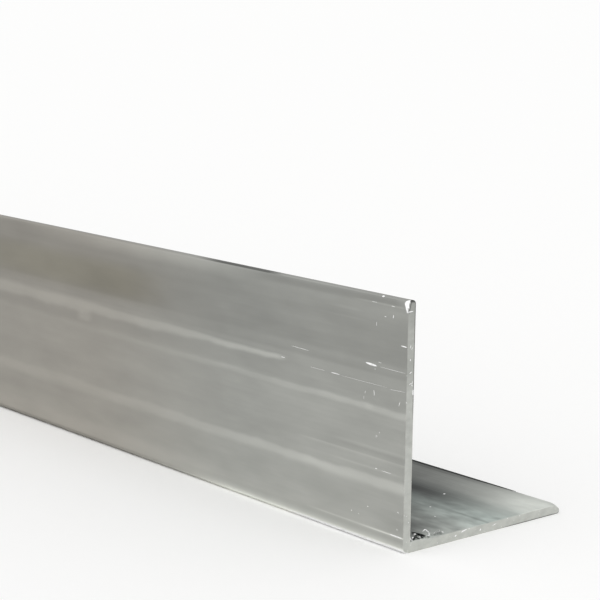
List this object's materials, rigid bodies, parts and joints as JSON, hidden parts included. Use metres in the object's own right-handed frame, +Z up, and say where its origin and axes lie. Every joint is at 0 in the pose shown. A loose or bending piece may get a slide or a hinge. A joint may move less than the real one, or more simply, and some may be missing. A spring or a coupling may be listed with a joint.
{
  "type": "aluminium angle profile",
  "caption": "Length of extruded aluminium angle with unequal thin legs, rounded edges and square sawn ends, one corner chipped.",
  "frame": {"origin": "under the middle of the bounding box, on the surface that the lower leg lies on", "axes": "+Y along the bar, +X along the lower leg away from the heel, +Z up along the upright leg"},
  "size_m": [0.045, 1, 0.05],
  "materials": {
    "aluminium": "mill finish, fine die lines along the length, sawn ends"
  },
  "bodies": {
    "root": {"angle_profile": "aluminium"}
  },
  "joints": []
}
